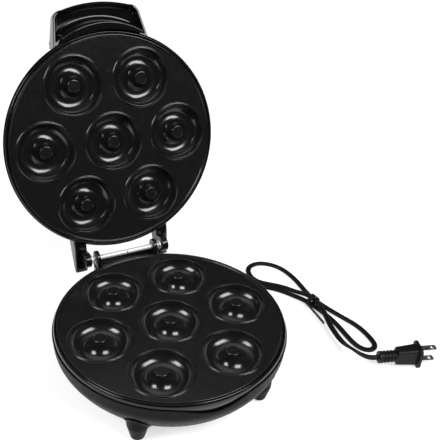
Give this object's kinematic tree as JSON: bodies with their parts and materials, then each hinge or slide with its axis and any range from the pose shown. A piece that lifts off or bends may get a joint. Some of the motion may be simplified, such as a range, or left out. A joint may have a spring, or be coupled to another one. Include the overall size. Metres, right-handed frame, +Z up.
{
  "type": "mini donut maker",
  "caption": "Round countertop donut maker: ring-mould plate with centre posts in a black housing on short legs, matching hinged lid with front handle, standing open, and a tied mains lead.",
  "frame": {"origin": "on the table under the middle of the body's box, the lead and its plug not counted", "axes": "+Y towards the hinge at the back, +X to the user's right, +Z up from the table"},
  "size_m": [0.3323, 0.3017, 0.2743],
  "materials": {
    "non_stick": "cast aluminium with a satin black non-stick coating",
    "gloss_black": "glossy black heat-proof plastic",
    "satin_black": "black plastic with a fine satin grain",
    "bright_steel": "bright plated steel",
    "tin_steel": "dull zinc-plated steel",
    "thin_aluminium": "mill-finish aluminium sheet",
    "brass": "plain brass",
    "pad_rubber": "matt black rubber",
    "black_vinyl": "flexible black vinyl with a dull sheen",
    "ceramic": "off-white ceramic and glass-fibre sleeving",
    "red_lens": "clear red plastic",
    "green_lens": "clear green plastic"
  },
  "bodies": {
    "base": {"base_shell": "satin_black", "base_collar": "gloss_black", "base_plate": "non_stick", "base_element": "tin_steel", "base_element_terminal_left": "brass", "base_element_terminal_right": "brass", "base_reflector": "tin_steel", "base_reflector_screw_1": "tin_steel", "base_reflector_screw_2": "tin_steel", "base_reflector_screw_3": "tin_steel", "base_shell_screw_1": "tin_steel", "base_shell_screw_2": "tin_steel", "base_shell_screw_3": "tin_steel", "base_plate_screw_1": "tin_steel", "base_plate_screw_2": "tin_steel", "base_plate_screw_3": "tin_steel", "foot_pad_1": "pad_rubber", "foot_pad_2": "pad_rubber", "foot_pad_3": "pad_rubber", "foot_pad_4": "pad_rubber", "base_thermostat": "ceramic", "thermal_fuse": "brass", "terminal_block": "ceramic", "cord_clamp": "satin_black", "cord_clamp_screw_left": "tin_steel", "cord_clamp_screw_right": "tin_steel", "mains_lead_tail": "black_vinyl", "strain_relief": "black_vinyl", "base_wire_left": "ceramic", "base_wire_right": "ceramic", "hinge_pin_left": "bright_steel", "hinge_pin_right": "bright_steel", "hinge_washer_left": "bright_steel", "hinge_washer_right": "bright_steel", "power_cord": "black_vinyl", "cord_tie": "black_vinyl", "plug_body": "black_vinyl", "plug_blade_upper": "bright_steel", "plug_blade_lower": "bright_steel"},
    "lid": {"lid_cover": "gloss_black", "lid_collar": "gloss_black", "lid_plate": "non_stick", "lid_element": "tin_steel", "lid_element_terminal_left": "brass", "lid_element_terminal_right": "brass", "lid_reflector": "thin_aluminium", "lid_reflector_screw_1": "tin_steel", "lid_reflector_screw_2": "tin_steel", "lid_reflector_screw_3": "tin_steel", "lid_plate_screw_1": "tin_steel", "lid_plate_screw_2": "tin_steel", "lid_plate_screw_3": "tin_steel", "lamp_lens_red": "red_lens", "lamp_lens_green": "green_lens", "neon_lamp_red": "ceramic", "neon_lamp_green": "ceramic"}
  },
  "joints": [
    {"name": "lid_hinge", "type": "hinge", "parent": "base", "child": "lid", "pos_m": [0, 0.0587, 0.0529], "axis": [1, 0, 0], "range_deg": [0, 105.3]}
  ]
}
